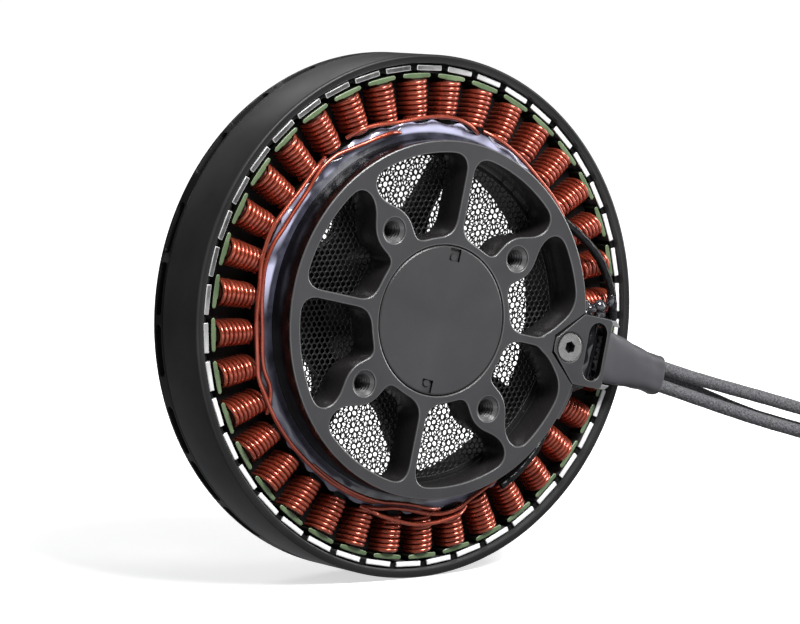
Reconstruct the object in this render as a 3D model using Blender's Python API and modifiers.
"""Brushless outrunner motor, 36 teeth and 42 magnets, for a large propeller.

Units are metres. The shaft lies along world +Y: the mounting face of the
stator base is at y = 0 and the bell is behind it. World +Z is up and +X is to
the right when looking along +Y.

Every part is modelled in a local frame that is turned 90 degrees about X:
local x is world x, local y is world z, and local z points out of the mounting
face, so a depth behind the mounting face is a negative local z.

Dimensions are in millimetres and degrees. A name that ends in _R is a radius.
One that ends in _FRONT, _BACK or _DEPTH is a depth behind the mounting face.
"""

import math

import bmesh
import bpy

MM = 0.001

# --------------------------------------------------------- shared dimensions
# rotor
ROTOR_R = 48.5               # outside of flux ring and bell
SEAM_DEPTH = 18.5            # joint between flux ring and bell

# stator base
BASE_R = 33.06
BASE_WINDOW_R = 30.8         # outer edge of the windows
BASE_HUB_R = 15.36
WEBS = 8
WEB_START = 31.5             # angle of the first web, which carries a boss
WEB_BACK = 7.0
BOSS_CIRCLE_R = 40.0 / 2

# stator core and coils
TEETH = 36
TOOTH_PITCH = 360 / TEETH
TOOTH_START = 0.75           # angle of the first tooth
CORE_FRONT, CORE_BACK = 7.4, 16.2
COIL_INNER_R, COIL_OUTER_R = 36.6, 43.7

# bearings and the parts that meet them
BORE_R, BEARING_R = 7.5, 12.0
BEARING_WIDTH = 5.0
FRONT_BEARING_FRONT, REAR_BEARING_FRONT = 3.2, 13.0
FRONT_BEARING_BACK = FRONT_BEARING_FRONT + BEARING_WIDTH
REAR_BEARING_BACK = REAR_BEARING_FRONT + BEARING_WIDTH
COLLAR_R = 8.4               # spacer, and the bell's collar behind the rear bearing
COLLAR_GAP = 0.1             # between a collar and an inner race
CAP_R = 13.8

# bell spokes: their front faces slope from the hub to the rim
SPOKES = 8
SPOKE_PITCH = 360 / SPOKES
SPOKE_START = 14.3           # angle of the first spoke
SPOKE_HUB_FRONT, SPOKE_RIM_FRONT = 22.9, 20.8

# Cable clamp. "Out" runs along the clamp's own radius, "across" at right
# angles to it, anticlockwise as seen from local +z.
CLAMP_ANGLE = -13.0
CLAMP_THICKNESS = 1.6
TIP_OUT, TIP_HALF_WIDTH = 26.45, 1.7
SHOULDER_OUT, SHOULDER_HALF_WIDTH = 32.2, 6.65
CLAMP_END_OUT = 39.0
SCREW_OUT = 30.1
SCREW_HEAD_R, SCREW_R = 2.75, 1.5

# phase leads and cables, side by side in the clamp
CABLE_ROW = {"a": 1, "b": 0, "c": -1}
CABLE_PITCH = 2.3
CABLE_DEPTH = 3.1

# ------------------------------------------------------------- scene and axes
for old in list(bpy.data.objects):
    bpy.data.objects.remove(old, do_unlink=True)

scene = bpy.context.scene
parts = bpy.data.collections.new("outrunner_motor")
cutters = bpy.data.collections.new("cutters")
scene.collection.children.link(parts)
scene.collection.children.link(cutters)
cutters.hide_render = True


def empty(name, parent=None):
    made = bpy.data.objects.new(name, None)
    parts.objects.link(made)
    made.parent = parent
    return made


motor = empty("motor_axis")
motor.rotation_euler = (math.pi / 2, 0, 0)
rotor = empty("rotor_axis", motor)
front_balls = empty("front_ball_axis", motor)
rear_balls = empty("rear_ball_axis", motor)

# ------------------------------------------------------------------ materials
# name, base colour, roughness, metallic
ANODISED = ("anodised", (0.055, 0.055, 0.058), 0.42, 0.7)
SATIN_BLACK = ("satin_black", (0.028, 0.028, 0.030), 0.36, 0.6)
COPPER = ("enamelled_copper", (0.62, 0.13, 0.05), 0.28, 0.9)
GREEN = ("green_insulation", (0.16, 0.26, 0.11), 0.45, 0.0)
NICKEL = ("nickel", (0.62, 0.62, 0.60), 0.28, 1.0)
STEEL = ("bearing_steel", (0.56, 0.57, 0.58), 0.2, 1.0)
RESIN = ("resin", (0.25, 0.26, 0.36), 0.15, 0.0)
SHRINK = ("heat_shrink", (0.085, 0.08, 0.088), 0.5, 0.0)
BRAID = ("braid", (0.10, 0.10, 0.105), 0.75, 0.0)
RUBBER = ("black_tubing", (0.012, 0.012, 0.013), 0.35, 0.0)
GLUE = ("clear_glue", (0.55, 0.55, 0.58), 0.08, 0.0)
MESH_BLACK = ("mesh_black", (0.03, 0.03, 0.032), 0.5, 0.6)

SHARP_ANGLE = math.radians(35)


def material(name, colour, roughness, metallic):
    made = bpy.data.materials.new(name)
    made.use_nodes = True
    shader = made.node_tree.nodes["Principled BSDF"]
    shader.inputs["Base Color"].default_value = (*colour, 1.0)
    shader.inputs["Roughness"].default_value = roughness
    shader.inputs["Metallic"].default_value = metallic
    made.diffuse_color = (*colour, 1.0)
    return made


def finish(obj, kind, parent=motor, smooth=True):
    """Material, parent and shading of a finished part. Parts that share a
    mesh all show the material of the last one finished."""
    name, colour, roughness, metallic = kind
    obj.data.materials.clear()
    obj.data.materials.append(material(f"{obj.name}_{name}", colour, roughness, metallic))
    obj.parent = parent
    if smooth:
        obj.data.shade_smooth()
        obj.data.set_sharp_from_angle(angle=SHARP_ANGLE)


# --------------------------------------------------------------- solid makers
def local(x, y, depth):
    """Millimetres and a depth as a point of the local frame."""
    return x * MM, y * MM, -depth * MM


def place_mesh(name, mesh):
    obj = bpy.data.objects.new(name, mesh)
    parts.objects.link(obj)
    return obj


def to_mesh(name, shape):
    mesh = bpy.data.meshes.new(name)
    shape.to_mesh(mesh)
    shape.free()
    return mesh


def face_outward(shape):
    """Turns the faces of a closed shape outwards."""
    bmesh.ops.recalc_face_normals(shape, faces=shape.faces)
    if shape.calc_volume(signed=True) < 0:
        bmesh.ops.reverse_faces(shape, faces=shape.faces)


def turned(name, profile, steps, axis_caps=False):
    """A ring turned about local z. The profile lists (radius, depth): front
    inner, front outer, back outer, back inner. With axis_caps it starts and
    ends on the axis instead of closing on itself."""
    mesh = bpy.data.meshes.new(name)
    points = [local(radius, 0.0, depth) for radius, depth in profile]
    edges = [(i, i + 1) for i in range(len(points) - 1)]
    if not axis_caps:
        edges.append((len(points) - 1, 0))
    mesh.from_pydata(points, edges, [])
    obj = place_mesh(name, mesh)
    screw = obj.modifiers.new("turn", "SCREW")
    screw.axis = "Z"
    screw.angle = math.tau
    screw.steps = steps
    screw.render_steps = steps
    screw.use_merge_vertices = axis_caps
    screw.merge_threshold = 0.00001
    screw.use_smooth_shade = True
    return obj


def band_profile(inner, outer, front, back):
    """The rectangular profile of a plain ring."""
    return [(inner, front), (outer, front), (outer, back), (inner, back)]


def mesh_from_curve(name, curve, centre_depth=0.0):
    """The curve as a mesh object, welded and facing out."""
    source = bpy.data.objects.new(name, curve)
    scene.collection.objects.link(source)
    bpy.context.view_layer.update()
    graph = bpy.context.evaluated_depsgraph_get()
    mesh = bpy.data.meshes.new_from_object(source.evaluated_get(graph))
    bpy.data.objects.remove(source, do_unlink=True)
    shape = bmesh.new()
    shape.from_mesh(mesh)
    bmesh.ops.remove_doubles(shape, verts=shape.verts, dist=1e-7)
    bmesh.ops.translate(shape, verts=shape.verts, vec=local(0, 0, centre_depth))
    face_outward(shape)
    shape.to_mesh(mesh)
    shape.free()
    return place_mesh(name, mesh)


def outline(name, loops, front, back):
    """A flat outline with holes, extruded between two depths."""
    curve = bpy.data.curves.new(name, "CURVE")
    curve.dimensions = "2D"
    curve.fill_mode = "BOTH"
    curve.extrude = (back - front) / 2 * MM
    for loop in loops:
        spline = curve.splines.new("POLY")
        spline.points.add(len(loop) - 1)
        for point, (x, y) in zip(spline.points, loop):
            point.co = (x * MM, y * MM, 0.0, 1.0)
        spline.use_cyclic_u = True
    return mesh_from_curve(name, curve, (front + back) / 2)


def tube(name, points, radius, resolution=2, swell=None):
    """A round wire through local points (x, y, depth). Swell lists factors
    on the radius, one to a point."""
    curve = bpy.data.curves.new(name, "CURVE")
    curve.dimensions = "3D"
    curve.bevel_depth = radius * MM
    curve.bevel_resolution = resolution
    curve.use_fill_caps = True
    spline = curve.splines.new("POLY")
    spline.points.add(len(points) - 1)
    for i, (point, place) in enumerate(zip(spline.points, points)):
        point.co = (*local(*place), 1.0)
        point.radius = swell[i] if swell else 1.0
    return mesh_from_curve(name, curve)


def cylinder(name, radius, front, back, x, y, segments, radius_back=None):
    """A cylinder or cone along local z, between two depths."""
    shape = bmesh.new()
    bmesh.ops.create_cone(
        shape,
        cap_ends=True,
        segments=segments,
        radius1=(radius if radius_back is None else radius_back) * MM,
        radius2=radius * MM,
        depth=(back - front) * MM,
    )
    obj = place_mesh(name, to_mesh(name, shape))
    obj.location = local(x, y, (front + back) / 2)
    return obj


def box(name, size, radius, depth, angle):
    """A block of size (radial, tangential, depth), centred at a radius and a
    depth and turned by an angle about the shaft."""
    shape = bmesh.new()
    bmesh.ops.create_cube(shape, size=1.0)
    for vertex in shape.verts:
        vertex.co.x = vertex.co.x * size[0] * MM + radius * MM
        vertex.co.y = vertex.co.y * size[1] * MM
        vertex.co.z = vertex.co.z * size[2] * MM - depth * MM
    obj = place_mesh(name, to_mesh(name, shape))
    obj.rotation_euler = (0, 0, math.radians(angle))
    return obj


pending = []


def boolean(obj, others, operation="DIFFERENCE"):
    """Asks for one Boolean with a whole group of cutters or additions. The
    modifiers are added last, when every outline has been made."""
    group = bpy.data.collections.new(f"{obj.name}_{operation.lower()}_{len(pending)}")
    cutters.children.link(group)
    group.hide_render = True
    for other in others:
        parts.objects.unlink(other)
        group.objects.link(other)
        other.parent = motor
        other.hide_render = True
        other.display_type = "WIRE"
    pending.append((obj, group, operation))


def add_booleans():
    for obj, group, operation in pending:
        modifier = obj.modifiers.new(operation.lower(), "BOOLEAN")
        modifier.operation = operation
        modifier.operand_type = "COLLECTION"
        modifier.collection = group
        modifier.solver = "EXACT"


# --------------------------------------------------------------- flat outlines
def polar(radius, degrees):
    return radius * math.cos(math.radians(degrees)), radius * math.sin(math.radians(degrees))


def arc(radius, start, end, count):
    return [polar(radius, start + (end - start) * i / (count - 1)) for i in range(count)]


def circle(radius, count, start=0.0):
    return [
        (radius * math.cos(math.radians(start) + math.tau * i / count),
         radius * math.sin(math.radians(start) + math.tau * i / count))
        for i in range(count)
    ]


def clamp_xy(out, across):
    """Clamp coordinates to local x, y."""
    cosine = math.cos(math.radians(CLAMP_ANGLE))
    sine = math.sin(math.radians(CLAMP_ANGLE))
    return out * cosine - across * sine, out * sine + across * cosine


def clamp_loop(half):
    """A loop symmetric about the clamp's radius, from (out, half width)."""
    near = [clamp_xy(out, -width) for out, width in half]
    far = [clamp_xy(out, width) for out, width in reversed(half)]
    return near + far


def rounded(half_x, half_y, corner, count, centre_x, centre_y):
    """A rounded rectangle with a number of points at each corner."""
    loop = []
    for sign_x, sign_y, start in ((1, 1, 0), (-1, 1, 90), (-1, -1, 180), (1, -1, 270)):
        for i in range(count):
            angle = math.radians(start + 90 * i / (count - 1))
            loop.append((centre_x + sign_x * (half_x - corner) + corner * math.cos(angle),
                         centre_y + sign_y * (half_y - corner) + corner * math.sin(angle)))
    return loop


# ------------------------------------------------- windows between the webs
# A window is the open area of a distance field, which is negative in solid
# metal. Blending the fields rounds the corners where webs meet rings.
TAPER_R = 31.0         # radius at which a tapered web has its named half width
TRACE_RAYS = 20
TRACE_STEPS = 200
TRACE_STRIDE = 0.8     # share of the measured gap that one step covers
TRACE_TOLERANCE = 0.002


def blend_min(first, second, width):
    """The smaller value, rounded off where the two are within the width."""
    overlap = max(width - abs(first - second), 0.0) / width
    return min(first, second) - overlap * overlap * width / 4


def web_distance(x, y, degrees, half, inner, outer, taper=0.0):
    """Distance to a web along a radius, between two radii."""
    angle = math.radians(degrees)
    along = x * math.cos(angle) + y * math.sin(angle)
    aside = -x * math.sin(angle) + y * math.cos(angle)
    beyond = max(inner - along, 0.0, along - outer)
    return math.hypot(beyond, aside) - half - taper * (along - TAPER_R)


def polygon_distance(x, y, loop):
    """Signed distance to a polygon, negative inside."""
    best, inside = 1e9, False
    for i in range(len(loop)):
        (x0, y0), (x1, y1) = loop[i - 1], loop[i]
        run, rise = x1 - x0, y1 - y0
        share = ((x - x0) * run + (y - y0) * rise) / (run * run + rise * rise)
        share = max(0.0, min(1.0, share))
        best = min(best, math.hypot(x - x0 - share * run, y - y0 - share * rise))
        if (y0 > y) != (y1 > y) and x < x0 + (y - y0) / (y1 - y0) * run:
            inside = not inside
    return -best if inside else best


def trace(solid, x, y):
    """The edge of the open area round (x, y), found along rays."""
    loop = []
    for i in range(TRACE_RAYS):
        angle = math.tau * i / TRACE_RAYS
        step_x, step_y, reach = math.cos(angle), math.sin(angle), 0.0
        for _ in range(TRACE_STEPS):
            gap = solid(x + reach * step_x, y + reach * step_y)
            if gap < TRACE_TOLERANCE:
                break
            reach += TRACE_STRIDE * gap
        loop.append((x + reach * step_x, y + reach * step_y))
    return loop


def window_cut(name, solid, radius, angle, front, back):
    return outline(name, [trace(solid, *polar(radius, angle))], front, back)


# ---------------------------------------------------------------- stator base
WEB_HALF = 0.8
BOSS_R, BOSS_HOLE_R = 3.65, 1.95
CORE_WALL_BACK = 16.5                      # end of the wall that carries the core
TUBE_R = 14.0                              # bearing tube
CAP_SEAT_R, CAP_SEAT_BACK = 13.95, 1.3
POCKET_R = BEARING_R + 0.1                 # bearing pockets
STOP_R = 11.0                              # inward step between the pockets
STOP_FRONT, STOP_BACK = FRONT_BEARING_BACK + 0.5, REAR_BEARING_FRONT - 0.2
BASE_TRACE_R = 23.2                        # where the rays of a window start
NOTCH_END_OUT = 46.0                       # clear of the base
LEDGE_R, LEDGE_FRONT, LEDGE_BACK = 35.3, 1.6, 3.6   # flanges beside the clamp
LEDGE_SPANS = ((-37.3, -26.0), (-1.0, 4.0))         # start and end angles
LEDGE_INSET = 1.2                          # degrees lost at each outer corner
LEDGE_OVERLAP = 0.6                        # reach into the base
LEDGE_POINTS = 5

# metal left round the notch for the clamp
NOTCH_ARM = clamp_loop([
    (TIP_OUT - 2.0, TIP_HALF_WIDTH - 0.2),
    (SHOULDER_OUT - 1.4, SHOULDER_HALF_WIDTH + 1.75),
    (SHOULDER_OUT + 4.0, SHOULDER_HALF_WIDTH + 5.2),
])
# the clamp's outline with a little room round it
NOTCH = clamp_loop([
    (TIP_OUT - 0.2, TIP_HALF_WIDTH - 0.05),
    (SHOULDER_OUT - 0.1, SHOULDER_HALF_WIDTH + 0.15),
    (NOTCH_END_OUT, SHOULDER_HALF_WIDTH + 0.15),
])


def base_solid(x, y):
    radius = math.hypot(x, y)
    distance = blend_min(radius - BASE_HUB_R, BASE_WINDOW_R - radius, 4.0)
    for k in range(WEBS):
        angle = WEB_START + 360 / WEBS * k
        web = web_distance(x, y, angle, WEB_HALF, BASE_HUB_R, BASE_WINDOW_R)
        distance = blend_min(distance, web, 3.6)
        if k % 2 == 0:
            boss_x, boss_y = polar(BOSS_CIRCLE_R, angle)
            distance = blend_min(distance, math.hypot(x - boss_x, y - boss_y) - BOSS_R, 2.0)
    return blend_min(distance, polygon_distance(x, y, NOTCH_ARM), 3.0)


def build_base():
    base = turned(
        "stator_base",
        [(CAP_SEAT_R, 0.0), (BASE_R, 0.0), (BASE_R, CORE_WALL_BACK),
         (BASE_WINDOW_R, CORE_WALL_BACK), (BASE_WINDOW_R, WEB_BACK),
         (BASE_HUB_R, WEB_BACK), (TUBE_R, WEB_BACK), (TUBE_R, REAR_BEARING_BACK),
         (POCKET_R, REAR_BEARING_BACK), (POCKET_R, STOP_BACK), (STOP_R, STOP_BACK),
         (STOP_R, STOP_FRONT), (POCKET_R, STOP_FRONT),
         (POCKET_R, CAP_SEAT_BACK), (CAP_SEAT_R, CAP_SEAT_BACK)],
        steps=48,
    )
    cuts = []
    for k in range(WEBS):
        middle = WEB_START + 360 / WEBS * (k + 0.5)
        cuts.append(window_cut(f"window_cut_{k}", base_solid, BASE_TRACE_R, middle,
                               -2.0, WEB_BACK + 1.5))
    for k in range(4):
        x, y = polar(BOSS_CIRCLE_R, WEB_START + 90 * k)
        cuts.append(cylinder(f"boss_cut_{k}", BOSS_HOLE_R, -1.0, WEB_BACK + 1.0, x, y, 12))
    cuts.append(outline("notch_cut", [NOTCH], -1.0, CLAMP_THICKNESS + 0.2))
    x, y = clamp_xy(SCREW_OUT, 0)
    cuts.append(cylinder("clamp_thread_cut", SCREW_R + 0.1, 0.5, WEB_BACK + 1.0, x, y, 10))
    boolean(base, cuts)
    ledges = []
    for k, (start, end) in enumerate(LEDGE_SPANS):
        loop = arc(LEDGE_R, start + LEDGE_INSET, end - LEDGE_INSET, LEDGE_POINTS)
        loop += arc(BASE_R - LEDGE_OVERLAP, end, start, LEDGE_POINTS)
        ledges.append(outline(f"ledge_{k}", [loop], LEDGE_FRONT, LEDGE_BACK))
    boolean(base, ledges, "UNION")
    finish(base, ANODISED)


# ------------------------------------------------------------------- base cap
CAP_THICKNESS, CAP_CHAMFER = 1.0, 0.25
PRY_SIZE = (2.3, 2.3, 1.2)    # the two notches in the cap's front edge
PRY_R = 12.2
PRY_ANGLES = (76.0, 254.0)


def build_cap():
    cap = turned(
        "base_cap",
        [(0.0, 0.0), (CAP_R - CAP_CHAMFER, 0.0), (CAP_R, CAP_CHAMFER),
         (CAP_R, CAP_THICKNESS), (0.0, CAP_THICKNESS)],
        steps=42, axis_caps=True,
    )
    boolean(cap, [box(f"pry_cut_{k}", PRY_SIZE, PRY_R, 0.0, angle)
                  for k, angle in enumerate(PRY_ANGLES)])
    finish(cap, ANODISED)


# ---------------------------------------------------------------- stator core
TIP_R = 45.15                  # outside of the tooth tips
TIP_UNDER_R = 44.45            # outer end of each tip's sloping underside
NECK_END_R = COIL_OUTER_R + 0.3
YOKE_R, YOKE_INNER_R = 36.2, 33.3
NECK_HALF, TIP_HALF = 1.1, 3.0


def tooth_loop():
    neck = math.degrees(math.asin(NECK_HALF / YOKE_R))
    tip = math.degrees(math.asin(TIP_HALF / TIP_R))
    loop = []
    for k in range(TEETH):
        angle = TOOTH_START + k * TOOTH_PITCH
        cosine, sine = math.cos(math.radians(angle)), math.sin(math.radians(angle))

        def place(radial, tangential):
            return (radial * cosine - tangential * sine,
                    radial * sine + tangential * cosine)

        loop.append(polar(YOKE_R, angle - TOOTH_PITCH / 2))
        loop.append(polar(YOKE_R, angle - neck))
        loop.append(place(NECK_END_R, -NECK_HALF))
        loop.append(place(TIP_UNDER_R, -TIP_HALF))
        loop += arc(TIP_R, angle - tip, angle + tip, 2)
        loop.append(place(TIP_UNDER_R, TIP_HALF))
        loop.append(place(NECK_END_R, NECK_HALF))
        loop.append(polar(YOKE_R, angle + neck))
    return loop


def build_core():
    core = outline("stator_core", [tooth_loop(), circle(YOKE_INNER_R, 48)],
                   CORE_FRONT, CORE_BACK)
    finish(core, GREEN, smooth=False)


# ------------------------------------------------------------- phase windings
COIL_HALF_INNER, COIL_HALF_OUTER = 2.2, 2.6   # half widths at the coil's two ends
COIL_FRONT, COIL_BACK = 5.5, 17.9
COIL_CORNER = 1.0
COIL_HOLE_HALF = 1.35
COIL_HOLE_GAP = 0.25                 # between the hole and the core, in depth
RING_WIRE_R, WIRE_HALF = 35.5, 0.25  # ring wire that joins a phase's coils
RING_WIRE_DEPTH = {"a": 5.75, "b": 6.3, "c": 6.85}
TAIL_SIZE, TAIL_R = (1.4, 0.6, 0.4), 36.2     # joins a coil to its ring wire
RISER_R = 34.75                      # where a lead runs forward from its ring
LEAD_END_OUT, LEAD_END_DEPTH = 36.6, CABLE_DEPTH + 1.2


def coil(name, angle):
    """One coil: a rounded loop round its tooth, narrower at its inner end.
    The outline is drawn as (tangential, height) and extruded along the
    tooth, then its axes are swapped to (radial, tangential, height)."""
    outer = rounded(COIL_HALF_OUTER, (COIL_BACK - COIL_FRONT) / 2, COIL_CORNER, 2,
                    0.0, -(COIL_FRONT + COIL_BACK) / 2)
    top, bottom = -(CORE_FRONT - COIL_HOLE_GAP), -(CORE_BACK + COIL_HOLE_GAP)
    inner = [(COIL_HOLE_HALF, top), (-COIL_HOLE_HALF, top),
             (-COIL_HOLE_HALF, bottom), (COIL_HOLE_HALF, bottom)]
    obj = outline(name, [outer, inner], COIL_INNER_R, COIL_OUTER_R)
    for vertex in obj.data.vertices:
        tangential, height, radial = vertex.co.x, vertex.co.y, -vertex.co.z
        share = (radial / MM - COIL_INNER_R) / (COIL_OUTER_R - COIL_INNER_R)
        half = COIL_HALF_INNER + (COIL_HALF_OUTER - COIL_HALF_INNER) * share
        # the hole keeps its width
        if abs(tangential) > (COIL_HOLE_HALF + 0.01) * MM:
            tangential *= half / COIL_HALF_OUTER
        vertex.co = (radial, tangential, height)
    shape = bmesh.new()
    shape.from_mesh(obj.data)
    face_outward(shape)
    shape.to_mesh(obj.data)
    shape.free()
    obj.rotation_euler = (0, 0, math.radians(angle))
    return obj


def phase_lead(phase):
    """The wire from the phase's ring forward and out to its cable."""
    depth = RING_WIRE_DEPTH[phase]
    across = CABLE_ROW[phase] * CABLE_PITCH
    ring_out = math.sqrt(RING_WIRE_R**2 - across * across)
    riser_out = math.sqrt(RISER_R**2 - across * across)
    # out, depth; the first point lies just inside the ring wire
    path = [(ring_out + 0.05, depth), (riser_out, depth),
            (riser_out, LEAD_END_DEPTH), (LEAD_END_OUT, LEAD_END_DEPTH)]
    points = [(*clamp_xy(out, across), at) for out, at in path]
    return tube(f"phase_lead_{phase}", points, WIRE_HALF, resolution=1)


def build_windings():
    """Each phase has every third pair of neighbouring teeth."""
    for number, phase in enumerate("abc"):
        depth = RING_WIRE_DEPTH[phase]
        winding = turned(
            f"phase_winding_{phase}",
            band_profile(RING_WIRE_R - WIRE_HALF, RING_WIRE_R + WIRE_HALF,
                         depth - WIRE_HALF, depth + WIRE_HALF),
            steps=54,
        )
        additions = []
        for k in range(TEETH):
            if (k // 2) % 3 != number:
                continue
            angle = TOOTH_START + k * TOOTH_PITCH
            additions.append(coil(f"coil_{phase}_{k}", angle))
            additions.append(box(f"coil_tail_{phase}_{k}", TAIL_SIZE, TAIL_R, depth, angle))
        additions.append(phase_lead(phase))
        boolean(winding, additions, "UNION")
        finish(winding, COPPER, smooth=False)


# ---------------------------------------------------------------------- resin
RESIN_INNER_R = BASE_R + 0.15
RESIN_FRONT, RESIN_BACK = 6.0, 7.35
# radius, depth
RESIN_PROFILE = [(RESIN_INNER_R, RESIN_FRONT), (33.7, RESIN_FRONT), (34.35, 6.35),
                 (34.4, RESIN_BACK), (RESIN_INNER_R, RESIN_BACK)]


def build_resin():
    finish(turned("winding_resin", RESIN_PROFILE, steps=40), RESIN)


# --------------------------------------------------------------- clamp, screw
PLATE_CORNER = 0.5
SLOT_IN, SLOT_OUT = 33.9, 38.2             # the slot through the plate
SLOT_HALF_WIDTH, SLOT_ACROSS = 5.5, 0.1
CHEEK_FRONT, CHEEK_BACK = 0.8, 5.0
CHEEK = [(35.2, 5.6), (41.5, 5.6), (40.5, 6.6), (35.2, 6.6)]   # out, across
SCREW_HOLE_R = SCREW_R + 0.25
SHANK_R = 1.4
HEAD_FRONT, HEAD_BACK, SHANK_BACK = 0.05, 1.55, 6.6
SOCKET_R, SOCKET_BACK = 1.15, 1.2


def build_clamp():
    plate = clamp_loop([
        (TIP_OUT, TIP_HALF_WIDTH - PLATE_CORNER), (TIP_OUT + 0.35, TIP_HALF_WIDTH),
        (SHOULDER_OUT, SHOULDER_HALF_WIDTH),
        (CLAMP_END_OUT - PLATE_CORNER, SHOULDER_HALF_WIDTH),
        (CLAMP_END_OUT, SHOULDER_HALF_WIDTH - PLATE_CORNER)])
    half_length = (SLOT_OUT - SLOT_IN) / 2
    slot = [clamp_xy(out, across) for out, across in rounded(
        half_length, SLOT_HALF_WIDTH, half_length - 0.01, 4,
        (SLOT_IN + SLOT_OUT) / 2, SLOT_ACROSS)]
    clamp = outline("cable_clamp", [plate, slot], 0.0, CLAMP_THICKNESS)
    cheeks = [
        outline(f"clamp_cheek_{sign}", [[clamp_xy(out, sign * across) for out, across in CHEEK]],
                CHEEK_FRONT, CHEEK_BACK)
        for sign in (-1, 1)
    ]
    boolean(clamp, cheeks, "UNION")
    x, y = clamp_xy(SCREW_OUT, 0)
    boolean(clamp, [
        cylinder("clamp_sink", SCREW_HEAD_R + 0.3, -0.2, 1.45, x, y, 20, SCREW_HOLE_R),
        cylinder("clamp_hole", SCREW_HOLE_R, 1.0, 3.0, x, y, 20)])
    finish(clamp, ANODISED)


def build_screw():
    x, y = clamp_xy(SCREW_OUT, 0)
    screw = turned(
        "clamp_screw",
        [(0.0, HEAD_FRONT), (SCREW_HEAD_R, HEAD_FRONT), (SHANK_R, HEAD_BACK),
         (SHANK_R, SHANK_BACK), (0.0, SHANK_BACK)],
        steps=20, axis_caps=True,
    )
    screw.location = local(x, y, 0)
    boolean(screw, [cylinder("screw_socket", SOCKET_R, -0.5, SOCKET_BACK, x, y, 6)])
    finish(screw, STEEL)


# --------------------------------------------------------------------- cables
CABLE_R = 1.1
CABLE_START_OUT, CABLE_END_OUT = 37.1, 116.0
NEAR_STATIONS, NEAR_SPACING = 9, 2.2    # stations close to the clamp
FAR_STATIONS = 9                        # stations on the rest of the way
BUNDLE_DRIFT, DRIFT_LENGTH = -8.2, 60.0  # how far and how fast the bundle bends aside
BRAID_SWELL = 0.2                       # the braid fills out clear of the clamp
BUNCH_SQUEEZE = 0.55                    # outer cables move in as they bunch
CORE_END_OUT, CORE_SHARE = CABLE_END_OUT + 4.5, 0.62   # thinner bare end

# depth change when bunched; then, as the cables part, changes across and in depth
CABLE_COURSE = {
    "a": (-0.95, 0.5, -0.25),
    "b": (1.15, -1.5, 0.25),
    "c": (-0.95, -0.4, -0.25),
}


def step(share):
    """Smooth rise from 0 to 1."""
    share = max(0.0, min(1.0, share))
    return share * share * (3 - 2 * share)


def bunching(out):
    """0 where the cables lie flat in a row, 1 where they are bunched."""
    return step((out - 42.0) / 8.0)


def bundle_across(out):
    """Sideways position of the cable bundle along its way out."""
    return BUNDLE_DRIFT * (1 - math.exp(-(out - CLAMP_END_OUT) / DRIFT_LENGTH))


def cable_point(out, phase):
    bunch_depth, part_across, part_depth = CABLE_COURSE[phase]
    bunched = bunching(out)
    bending = step((out - 37.0) / 3.0)
    parting = step((out - 56.0) / 28.0)
    across = bundle_across(max(out, CLAMP_END_OUT)) * bending
    across += CABLE_ROW[phase] * (CABLE_PITCH - BUNCH_SQUEEZE * bunched) + part_across * parting
    depth = CABLE_DEPTH + bunch_depth * bunched + part_depth * parting
    return (*clamp_xy(out, across), depth)


def build_cables():
    stations = [CABLE_START_OUT + i * NEAR_SPACING for i in range(NEAR_STATIONS)]
    last = stations[-1]
    stations += [last + (CABLE_END_OUT - last) * (i + 1) / FAR_STATIONS
                 for i in range(FAR_STATIONS)]
    swell = [1.0 + BRAID_SWELL * bunching(out) ** 3 / CABLE_R for out in stations]
    # a sudden step down to the bare end
    stations += [CABLE_END_OUT + 0.01, CORE_END_OUT]
    swell += [CORE_SHARE, CORE_SHARE]
    for phase in "abc":
        points = [cable_point(out, phase) for out in stations]
        finish(tube(f"lead_cable_{phase}", points, CABLE_R, swell=swell), BRAID)


# --------------------------------------------------------- heat-shrink sleeve
SLEEVE_START_OUT, SLEEVE_END_OUT = 39.25, 53.6
SLEEVE_WALL = 0.3
SLEEVE_SPANS, SLEEVE_SEGMENTS = 7, 18
SLEEVE_HALF_WIDTH, SLEEVE_FLARE = 3.45, 1.25    # the flare is at the clamp
SLEEVE_HALF_DEPTH, SLEEVE_BULGE = 1.32, 1.18    # the bulge goes with bunching
SLEEVE_SQUARENESS = 0.6                         # below 1 squares the section
SLEEVE_SINK = 0.08                              # goes with bunching


def build_shrink_sleeve():
    shape = bmesh.new()
    bmesh.ops.create_cone(shape, cap_ends=False, segments=SLEEVE_SEGMENTS,
                          radius1=1.0, radius2=1.0, depth=2.0)
    sides = [e for e in shape.edges if abs(e.verts[0].co.z - e.verts[1].co.z) > 1]
    bmesh.ops.subdivide_edges(shape, edges=sides, cuts=SLEEVE_SPANS - 1, use_grid_fill=False)
    for vertex in shape.verts:
        share = (vertex.co.z + 1) / 2
        out = SLEEVE_START_OUT + (SLEEVE_END_OUT - SLEEVE_START_OUT) * share
        bunched = bunching(out)
        half_width = SLEEVE_HALF_WIDTH + SLEEVE_FLARE * (1 - step(share * 1.15))
        half_depth = SLEEVE_HALF_DEPTH + SLEEVE_BULGE * bunched
        angle = math.atan2(vertex.co.y, vertex.co.x)
        cosine, sine = math.cos(angle), math.sin(angle)
        side = half_width * math.copysign(abs(cosine) ** SLEEVE_SQUARENESS, cosine)
        deeper = half_depth * math.copysign(abs(sine) ** SLEEVE_SQUARENESS, sine)
        x, y = clamp_xy(out, bundle_across(out) + side)
        vertex.co = local(x, y, CABLE_DEPTH + SLEEVE_SINK * bunched + deeper)
    bmesh.ops.recalc_face_normals(shape, faces=shape.faces)
    name = "heat_shrink_sleeve"
    sleeve = place_mesh(name, to_mesh(name, shape))
    wall = sleeve.modifiers.new("wall", "SOLIDIFY")
    wall.thickness = SLEEVE_WALL * MM
    wall.offset = 1.0
    finish(sleeve, SHRINK)


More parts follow.
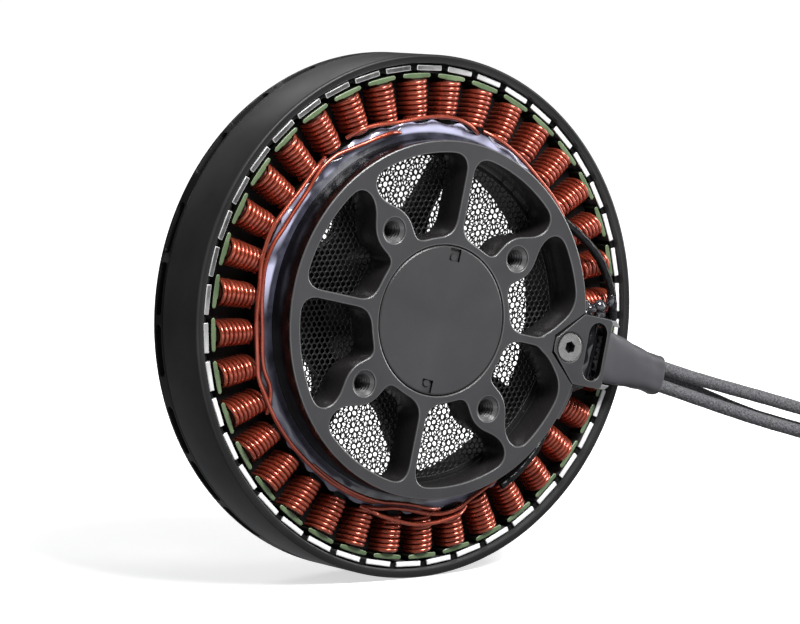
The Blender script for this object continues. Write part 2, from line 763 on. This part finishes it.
# ------------------------------------------------ sleeves on the wires, glue
# radius, angle, depth
UPPER_PATH = [(34.6, 29.5, 4.2), (37.1, 21.7, 3.9), (39.8, 13.9, 3.9),
              (41.3, 7.2, 3.9), (41.9, 2.7, 3.9), (41.9, -1.9, 4.0)]
LOWER_PATH = [(36.2, -63.5, 3.9), (35.8, -57.0, 3.4), (35.3, -49.0, 3.3),
              (35.0, -42.5, 3.8), (35.0, -38.0, 4.5), (35.4, -28.0, 4.6)]
UPPER_SLEEVE_R, LOWER_SLEEVE_R = 0.85, 0.75
DROP_AT = (39.2, 0.3)             # radius, angle
DROP_DEPTH = 4.5
DROP_HALF_SIZE = (1.25, 1.25, 0.9)


def smooth_path(points, count):
    """Points along a Catmull-Rom line through polar points, with a number of
    steps to each span."""
    knots = [(*polar(radius, angle), depth) for radius, angle, depth in points]
    knots = [knots[0], *knots, knots[-1]]
    path = []
    for i in range(1, len(knots) - 2):
        before, start, end, after = knots[i - 1 : i + 3]
        for j in range(count):
            t = j / count
            path.append(tuple(
                0.5 * (2 * start[k] + (end[k] - before[k]) * t
                       + (2 * before[k] - 5 * start[k] + 4 * end[k] - after[k]) * t * t
                       + (3 * start[k] - before[k] - 3 * end[k] + after[k]) * t**3)
                for k in range(3)))
    path.append(knots[-2])
    return path


def build_wire_sleeves():
    finish(tube("wire_sleeve_upper", smooth_path(UPPER_PATH, 5), UPPER_SLEEVE_R), RUBBER)
    finish(tube("wire_sleeve_lower", smooth_path(LOWER_PATH, 6), LOWER_SLEEVE_R), RUBBER)


def build_glue_drop():
    shape = bmesh.new()
    bmesh.ops.create_icosphere(shape, subdivisions=2, radius=1.0 * MM)
    bmesh.ops.scale(shape, vec=DROP_HALF_SIZE, verts=shape.verts)
    drop = place_mesh("glue_drop", to_mesh("glue_drop", shape))
    drop.location = local(*polar(*DROP_AT), DROP_DEPTH)
    finish(drop, GLUE)


# ---------------------------------------------------------------- dust meshes
STATOR_MESH_R, STATOR_MESH_INNER_R = 30.5, 14.35
STATOR_MESH_FRONT, STATOR_MESH_BACK = 7.35, 7.6
# radius, depth; slopes with the spokes
BELL_MESH_PROFILE = [(16.2, 22.54), (44.3, 20.57), (44.3, 20.79), (16.2, 22.76)]


def build_dust_meshes():
    loops = [circle(STATOR_MESH_R, 48), circle(STATOR_MESH_INNER_R, 32)]
    finish(outline("stator_mesh", loops, STATOR_MESH_FRONT, STATOR_MESH_BACK), MESH_BLACK)
    finish(turned("bell_mesh", BELL_MESH_PROFILE, steps=40), MESH_BLACK, rotor)


# ------------------------------------------------------------------- bearings
OUTER_RACE_INNER_R, INNER_RACE_OUTER_R = 11.15, 8.3
BALLS, BALL_R = 11, 1.3
BALL_CIRCLE_R = (BORE_R + BEARING_R) / 2
CAGE_HALF_WALL, CAGE_HALF_WIDTH = 0.4, 1.9
BALL_HOLE_R, BALL_HOLE_HALF = BALL_R + 0.12, 1.2   # cage pocket and its half length
WASHER_INNER_R = 11.3
WASHER_FRONT, WASHER_BACK = FRONT_BEARING_BACK + 0.08, FRONT_BEARING_BACK + 0.4


def build_bearing(prefix, front, ball_parent):
    back = front + BEARING_WIDTH
    middle = (front + back) / 2
    outer = turned(f"{prefix}_bearing_outer_race",
                   band_profile(OUTER_RACE_INNER_R, BEARING_R, front, back), steps=28)
    finish(outer, STEEL)
    inner = turned(f"{prefix}_bearing_inner_race",
                   band_profile(BORE_R, INNER_RACE_OUTER_R, front, back), steps=28)
    finish(inner, STEEL, rotor)
    cage = turned(
        f"{prefix}_bearing_cage",
        band_profile(BALL_CIRCLE_R - CAGE_HALF_WALL, BALL_CIRCLE_R + CAGE_HALF_WALL,
                     middle - CAGE_HALF_WIDTH, middle + CAGE_HALF_WIDTH),
        steps=22,
    )
    shape = bmesh.new()
    bmesh.ops.create_uvsphere(shape, u_segments=7, v_segments=5, radius=BALL_R * MM)
    ball_mesh = to_mesh(f"{prefix}_ball", shape)
    holes = []
    for k in range(BALLS):
        angle = 360 / BALLS * k
        x, y = polar(BALL_CIRCLE_R, angle)
        hole = cylinder(f"{prefix}_pocket_{k}", BALL_HOLE_R, middle - BALL_HOLE_HALF,
                        middle + BALL_HOLE_HALF, x, y, 6)
        hole.rotation_euler = (0, math.pi / 2, math.radians(angle))
        holes.append(hole)
        ball = place_mesh(f"{prefix}_ball_{k + 1:02d}", ball_mesh)
        ball.location = local(x, y, middle)
        finish(ball, STEEL, ball_parent)
    boolean(cage, holes)
    finish(cage, STEEL, ball_parent)


def build_bearings():
    build_bearing("front", FRONT_BEARING_FRONT, front_balls)
    build_bearing("rear", REAR_BEARING_FRONT, rear_balls)
    washer = band_profile(WASHER_INNER_R, BEARING_R, WASHER_FRONT, WASHER_BACK)
    finish(turned("preload_washer", washer, steps=28), STEEL)
    spacer = band_profile(BORE_R, COLLAR_R, FRONT_BEARING_BACK + COLLAR_GAP,
                          REAR_BEARING_FRONT - COLLAR_GAP)
    finish(turned("bearing_spacer", spacer, steps=28), ANODISED, rotor)


# ---------------------------------------------------------------------- shaft
SHAFT_R, SHAFT_BORE_R = 7.4, 5.0
SHAFT_FRONT, SHAFT_BACK = 1.7, 25.7
GROOVE_R, GROOVE_FRONT, GROOVE_BACK = 6.9, 2.15, 3.0
CIRCLIP_R, CIRCLIP_INNER_R = 8.5, 7.0
CIRCLIP_FRONT, CIRCLIP_BACK = 2.2, 2.9
CIRCLIP_HALF_GAP = 16.0           # degrees


def build_shaft():
    shaft = turned(
        "rotor_shaft",
        [(SHAFT_BORE_R, SHAFT_FRONT), (SHAFT_R, SHAFT_FRONT), (SHAFT_R, GROOVE_FRONT),
         (GROOVE_R, GROOVE_FRONT), (GROOVE_R, GROOVE_BACK), (SHAFT_R, GROOVE_BACK),
         (SHAFT_R, SHAFT_BACK), (SHAFT_BORE_R, SHAFT_BACK)],
        steps=24,
    )
    finish(shaft, STEEL, rotor)


def build_circlip():
    start, end = CIRCLIP_HALF_GAP, 360 - CIRCLIP_HALF_GAP
    loop = arc(CIRCLIP_R, start, end, 33) + arc(CIRCLIP_INNER_R, end, start, 33)
    finish(outline("shaft_circlip", [loop], CIRCLIP_FRONT, CIRCLIP_BACK), STEEL, rotor)


# ----------------------------------------------------------------- rotor bell
BELL_HUB_R, BELL_HUB_BACK = 15.4, 26.0
BELL_RIM_BACK = 21.5
BELL_RIM_INNER_R = 45.4
LIP_R, LIP_FRONT = 46.7, 17.9                 # lip that reaches into the flux ring
BELL_WINDOW_INNER_R, BELL_WINDOW_R = 13.7, 44.9
SPOKE_INNER_R = 14.0
SPOKE_HALF, SPOKE_TAPER = 1.75, -0.065        # half width at TAPER_R, and its slope
BELL_TRACE_R = 32.5                           # where the rays of a window start
# vents through the rim, three to a window; length and pitch in degrees
VENT_LENGTH, VENT_PITCH, VENT_WIDTH, VENT_DEPTH = 11.5, 13.4, 1.87, 19.95
VENT_INNER_R, VENT_CORNER_R, VENT_MIDDLE_R = 43.9, 50.0, 50.5
PROP_CIRCLE_R, PROP_HOLE_R, PROP_HOLES = 25.0 / 2, 2.0, 4


def bell_solid(x, y):
    radius = math.hypot(x, y)
    distance = blend_min(radius - BELL_WINDOW_INNER_R, BELL_WINDOW_R - radius, 3.0)
    for k in range(SPOKES):
        spoke = web_distance(x, y, SPOKE_START + SPOKE_PITCH * k, SPOKE_HALF,
                             SPOKE_INNER_R, BELL_WINDOW_R, SPOKE_TAPER)
        distance = blend_min(distance, spoke, 8.2)
    return distance


def vent_cut(name, angle):
    start, end = angle - VENT_LENGTH / 2, angle + VENT_LENGTH / 2
    loop = [polar(VENT_INNER_R, start), polar(VENT_CORNER_R, start),
            polar(VENT_MIDDLE_R, angle), polar(VENT_CORNER_R, end), polar(VENT_INNER_R, end)]
    return outline(name, [loop], VENT_DEPTH - VENT_WIDTH / 2, VENT_DEPTH + VENT_WIDTH / 2)


def build_bell():
    collar_front = REAR_BEARING_BACK + COLLAR_GAP
    bell = turned(
        "rotor_bell",
        [(BORE_R, collar_front), (COLLAR_R, collar_front), (COLLAR_R, SPOKE_HUB_FRONT),
         (BELL_HUB_R, SPOKE_HUB_FRONT), (BELL_RIM_INNER_R, SPOKE_RIM_FRONT),
         (BELL_RIM_INNER_R, LIP_FRONT), (LIP_R, LIP_FRONT), (LIP_R, SEAM_DEPTH),
         (ROTOR_R, SEAM_DEPTH), (ROTOR_R, BELL_RIM_BACK), (46.2, SPOKE_RIM_FRONT + 3.2),
         (BELL_HUB_R + 0.4, SPOKE_HUB_FRONT + 2.7), (BELL_HUB_R, BELL_HUB_BACK),
         (BORE_R, BELL_HUB_BACK)],
        steps=48,
    )
    cuts = []
    for k in range(SPOKES):
        middle = SPOKE_START + SPOKE_PITCH * (k + 0.5)
        cuts.append(window_cut(f"bell_window_{k}", bell_solid, BELL_TRACE_R, middle,
                               SPOKE_RIM_FRONT - 1.5, BELL_HUB_BACK + 1))
        for j in range(3):
            cuts.append(vent_cut(f"vent_{k}_{j}", middle + (j - 1) * VENT_PITCH))
    for k in range(PROP_HOLES):
        x, y = polar(PROP_CIRCLE_R, SPOKE_START + SPOKE_PITCH / 2 + 360 / PROP_HOLES * k)
        cuts.append(cylinder(f"prop_hole_{k}", PROP_HOLE_R, SPOKE_HUB_FRONT + 0.9,
                             BELL_HUB_BACK + 1, x, y, 12))
    boolean(bell, cuts)
    finish(bell, SATIN_BLACK, rotor)


# --------------------------------------------------------- flux ring, magnets
FLUX_INNER_R, FLUX_FRONT = 46.9, 6.6    # the front is the rotor's open end
FLUX_BACK = SEAM_DEPTH - 0.1
MAGNETS = 42
MAGNET_START = 1.4            # angle of the first magnet
MAGNET_FILL = 0.82            # share of the pitch that a magnet fills
MAGNET_INNER_R, BOND_R, MAGNET_R = 45.5, 46.55, 46.75
MAGNET_FRONT, MAGNET_BACK = 7.4, 17.6


def build_flux_ring():
    profile = band_profile(FLUX_INNER_R, ROTOR_R, FLUX_FRONT, FLUX_BACK)
    finish(turned("flux_ring", profile, steps=72), SATIN_BLACK, rotor)


def magnet_loop():
    """Inner edge of the magnets, with the thin bond line between them."""
    pitch = 360 / MAGNETS
    half = pitch * MAGNET_FILL / 2
    loop = []
    for k in range(MAGNETS):
        angle = MAGNET_START + k * pitch
        loop += [polar(BOND_R, angle - half), polar(MAGNET_INNER_R, angle - half),
                 polar(MAGNET_INNER_R, angle + half), polar(BOND_R, angle + half)]
    return loop


def build_magnets():
    loops = [circle(MAGNET_R, MAGNETS, start=MAGNET_START), magnet_loop()]
    magnets = outline("magnet_ring", loops, MAGNET_FRONT, MAGNET_BACK)
    finish(magnets, NICKEL, rotor, smooth=False)


# ------------------------------------------------------------------- assembly
build_base()
build_cap()
build_core()
build_windings()
build_resin()
build_clamp()
build_screw()
build_cables()
build_shrink_sleeve()
build_wire_sleeves()
build_glue_drop()
build_dust_meshes()
build_bearings()
build_shaft()
build_circlip()
build_bell()
build_flux_ring()
build_magnets()
add_booleans()
